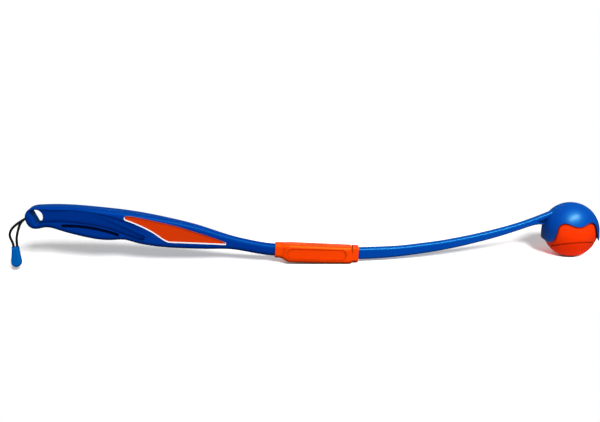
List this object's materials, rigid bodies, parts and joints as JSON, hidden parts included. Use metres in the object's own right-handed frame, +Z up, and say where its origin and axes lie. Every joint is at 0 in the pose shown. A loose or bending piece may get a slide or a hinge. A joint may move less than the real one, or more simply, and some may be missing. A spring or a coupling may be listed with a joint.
{
  "type": "dog ball thrower",
  "caption": "Long curved launcher with a hollow moulded handle, a take-down coupling, and a bowed arm whose scalloped cup holds a rubber ball.",
  "frame": {"origin": "on the floor plane, under the middle of the length and of the width, without the lanyard and its pull", "axes": "+X from the handle's end to the cup, +Z up as it lies on its grip and ball, +Y across the thickness, away from the camera"},
  "size_m": [0.6998, 0.064, 0.0799],
  "materials": {
    "handle_plastic": "satin moulded",
    "badge_red": "satin",
    "badge_white": "satin",
    "coupling_orange": "gloss",
    "grip_orange": "satin",
    "steel_pin": "plain",
    "eye_metal": "plain",
    "elastic_black": "matte",
    "arm_plastic": "gloss",
    "ball_rubber": "satin",
    "cord_black": "matte woven",
    "pull_plastic": "satin"
  },
  "bodies": {
    "handle": {"handle_body": "handle_plastic", "badge_plate": "badge_red", "badge_rim": "badge_white", "coupling_tube": "coupling_orange", "coupling_grip": "grip_orange", "coupling_pin": "steel_pin", "tension_cord_rear_eye": "eye_metal", "tension_cord": "elastic_black", "lanyard_plug": "handle_plastic", "lanyard_stopper": "cord_black", "lanyard_strand_left": "cord_black", "lanyard_strand_right": "cord_black", "cord_end_body": "pull_plastic", "cord_end_cap": "pull_plastic", "cord_end_knot": "cord_black"},
    "arm": {"throwing_arm": "arm_plastic", "ball_cup": "arm_plastic", "arm_pin": "steel_pin", "tension_cord_front_eye": "eye_metal"},
    "ball": {"ball": "ball_rubber"}
  },
  "joints": [
    {"name": "arm_pull_out", "type": "slide", "parent": "handle", "child": "arm", "axis": [0.9962, 0, -0.0872], "range_m": [0, 0.056], "stiffness_N_per_m": 300, "springref_m": -0.03, "deforming": ["tension_cord"]},
    {"name": "ball_release", "type": "slide", "parent": "arm", "child": "ball", "axis": [0, 0, -1], "range_m": [0, 0.08]}
  ]
}
